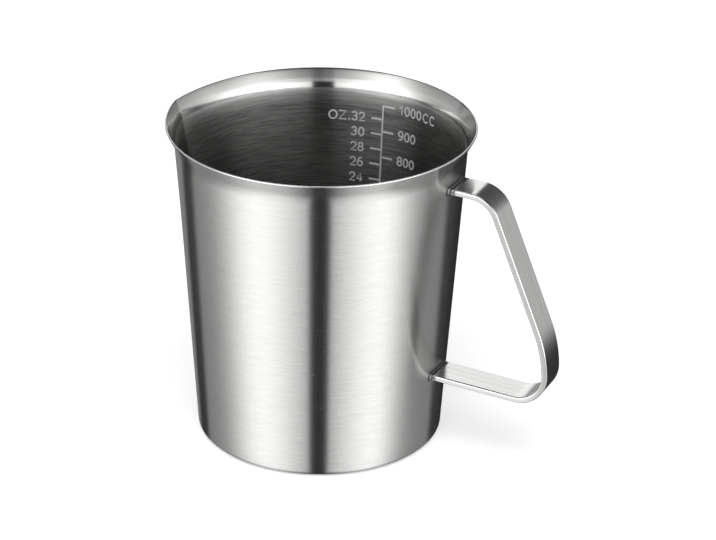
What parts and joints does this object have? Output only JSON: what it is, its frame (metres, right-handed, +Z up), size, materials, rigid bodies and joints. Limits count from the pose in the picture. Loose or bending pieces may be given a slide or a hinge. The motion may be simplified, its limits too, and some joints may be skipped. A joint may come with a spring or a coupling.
{
  "type": "measuring jug",
  "caption": "Steel measuring jug with a leaning wall, a flared lip with a V-shaped spout, a welded strap handle and a volume scale inside.",
  "frame": {"origin": "centre of the base, on the plane that the jug rests on", "axes": "+Z up along the cup's axis, +X towards the handle, the spout towards -X, the volume scale towards +Y"},
  "size_m": [0.1633, 0.1216, 0.1295],
  "materials": {
    "cup_steel": "satin, brushed round the cup",
    "strap_steel": "satin, brushed along the strap",
    "weld_steel": "dull, heat-darkened",
    "scale_marking": "matt, pale grey"
  },
  "bodies": {
    "root": {"jug_body": "cup_steel", "handle_strap": "strap_steel", "upper_weld": "weld_steel", "lower_weld": "weld_steel", "volume_scale": "scale_marking"}
  },
  "joints": []
}
